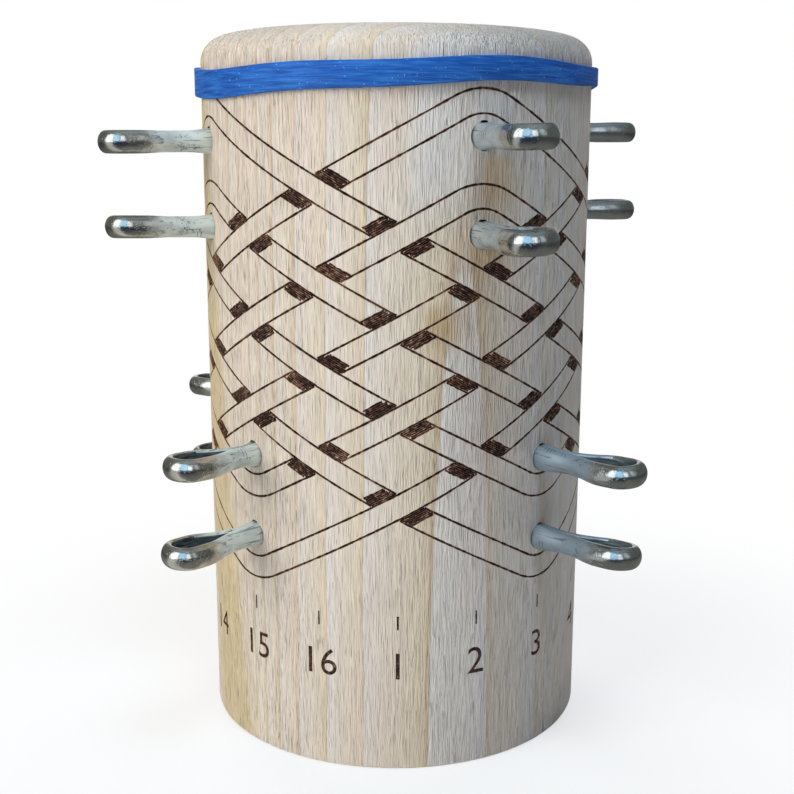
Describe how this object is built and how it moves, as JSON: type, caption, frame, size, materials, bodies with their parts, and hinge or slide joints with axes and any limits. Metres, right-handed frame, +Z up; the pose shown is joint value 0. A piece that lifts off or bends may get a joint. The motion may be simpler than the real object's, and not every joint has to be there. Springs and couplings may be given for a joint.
{
  "type": "globe knot jig",
  "caption": "Turned wooden mandrel with rings of pull-out split pins set in blind holes and a rubber band near the top, for tying a globe knot round its side.",
  "frame": {"origin": "centre of the mandrel's flat base", "axes": "+Z up the mandrel's axis; -Y faces the viewer of the picture, halfway between the two lower front pins"},
  "size_m": [0.0898, 0.0894, 0.1125],
  "materials": {
    "maple": "sanded bare maple, with the knot's path burnt into it in brown lines",
    "zinc_steel": "bright zinc-plated half-round steel wire",
    "blue_rubber": "matt, faintly streaked blue rubber"
  },
  "bodies": {
    "mandrel": {"mandrel": "maple"},
    "top_outer_pin_1": {"top_outer_pin_1": "zinc_steel"},
    "top_outer_pin_2": {"top_outer_pin_2": "zinc_steel"},
    "top_outer_pin_3": {"top_outer_pin_3": "zinc_steel"},
    "top_outer_pin_4": {"top_outer_pin_4": "zinc_steel"},
    "top_inner_pin_1": {"top_inner_pin_1": "zinc_steel"},
    "top_inner_pin_2": {"top_inner_pin_2": "zinc_steel"},
    "top_inner_pin_3": {"top_inner_pin_3": "zinc_steel"},
    "top_inner_pin_4": {"top_inner_pin_4": "zinc_steel"},
    "bottom_inner_pin_1": {"bottom_inner_pin_1": "zinc_steel"},
    "bottom_inner_pin_2": {"bottom_inner_pin_2": "zinc_steel"},
    "bottom_inner_pin_3": {"bottom_inner_pin_3": "zinc_steel"},
    "bottom_inner_pin_4": {"bottom_inner_pin_4": "zinc_steel"},
    "bottom_outer_pin_1": {"bottom_outer_pin_1": "zinc_steel"},
    "bottom_outer_pin_2": {"bottom_outer_pin_2": "zinc_steel"},
    "bottom_outer_pin_3": {"bottom_outer_pin_3": "zinc_steel"},
    "bottom_outer_pin_4": {"bottom_outer_pin_4": "zinc_steel"},
    "rubber_band": {"rubber_band": "blue_rubber"}
  },
  "joints": [
    {"name": "top_outer_pin_1_pull", "type": "slide", "parent": "mandrel", "child": "top_outer_pin_1", "axis": [0.3827, -0.9239, 0], "range_m": [0, 0.0225]},
    {"name": "top_outer_pin_2_pull", "type": "slide", "parent": "mandrel", "child": "top_outer_pin_2", "axis": [0.891, 0.454, 0], "range_m": [0, 0.0225]},
    {"name": "top_outer_pin_3_pull", "type": "slide", "parent": "mandrel", "child": "top_outer_pin_3", "axis": [-0.5, 0.866, 0], "range_m": [0, 0.0222]},
    {"name": "top_outer_pin_4_pull", "type": "slide", "parent": "mandrel", "child": "top_outer_pin_4", "axis": [-0.9239, -0.3827, 0], "range_m": [0, 0.0226]},
    {"name": "top_inner_pin_1_pull", "type": "slide", "parent": "mandrel", "child": "top_inner_pin_1", "axis": [0.3827, -0.9239, 0], "range_m": [0, 0.0218]},
    {"name": "top_inner_pin_2_pull", "type": "slide", "parent": "mandrel", "child": "top_inner_pin_2", "axis": [0.891, 0.454, 0], "range_m": [0, 0.0221]},
    {"name": "top_inner_pin_3_pull", "type": "slide", "parent": "mandrel", "child": "top_inner_pin_3", "axis": [-0.5, 0.866, 0], "range_m": [0, 0.0228]},
    {"name": "top_inner_pin_4_pull", "type": "slide", "parent": "mandrel", "child": "top_inner_pin_4", "axis": [-0.9239, -0.3827, 0], "range_m": [0, 0.0231]},
    {"name": "bottom_inner_pin_1_pull", "type": "slide", "parent": "mandrel", "child": "bottom_inner_pin_1", "axis": [0.7071, -0.7071, 0], "range_m": [0, 0.0211]},
    {"name": "bottom_inner_pin_2_pull", "type": "slide", "parent": "mandrel", "child": "bottom_inner_pin_2", "axis": [0.6428, 0.766, 0], "range_m": [0, 0.022]},
    {"name": "bottom_inner_pin_3_pull", "type": "slide", "parent": "mandrel", "child": "bottom_inner_pin_3", "axis": [-0.8039, 0.5948, 0], "range_m": [0, 0.0225]},
    {"name": "bottom_inner_pin_4_pull", "type": "slide", "parent": "mandrel", "child": "bottom_inner_pin_4", "axis": [-0.7071, -0.7071, 0], "range_m": [0, 0.0237]},
    {"name": "bottom_outer_pin_1_pull", "type": "slide", "parent": "mandrel", "child": "bottom_outer_pin_1", "axis": [0.7071, -0.7071, 0], "range_m": [0, 0.0214]},
    {"name": "bottom_outer_pin_2_pull", "type": "slide", "parent": "mandrel", "child": "bottom_outer_pin_2", "axis": [0.6428, 0.766, 0], "range_m": [0, 0.0227]},
    {"name": "bottom_outer_pin_3_pull", "type": "slide", "parent": "mandrel", "child": "bottom_outer_pin_3", "axis": [-0.8039, 0.5948, 0], "range_m": [0, 0.0225]},
    {"name": "bottom_outer_pin_4_pull", "type": "slide", "parent": "mandrel", "child": "bottom_outer_pin_4", "axis": [-0.7071, -0.7071, 0], "range_m": [0, 0.0228]},
    {"name": "rubber_band_slide", "type": "slide", "parent": "mandrel", "child": "rubber_band", "axis": [0, 0, 1], "range_m": [-0.003, 0.012]}
  ]
}
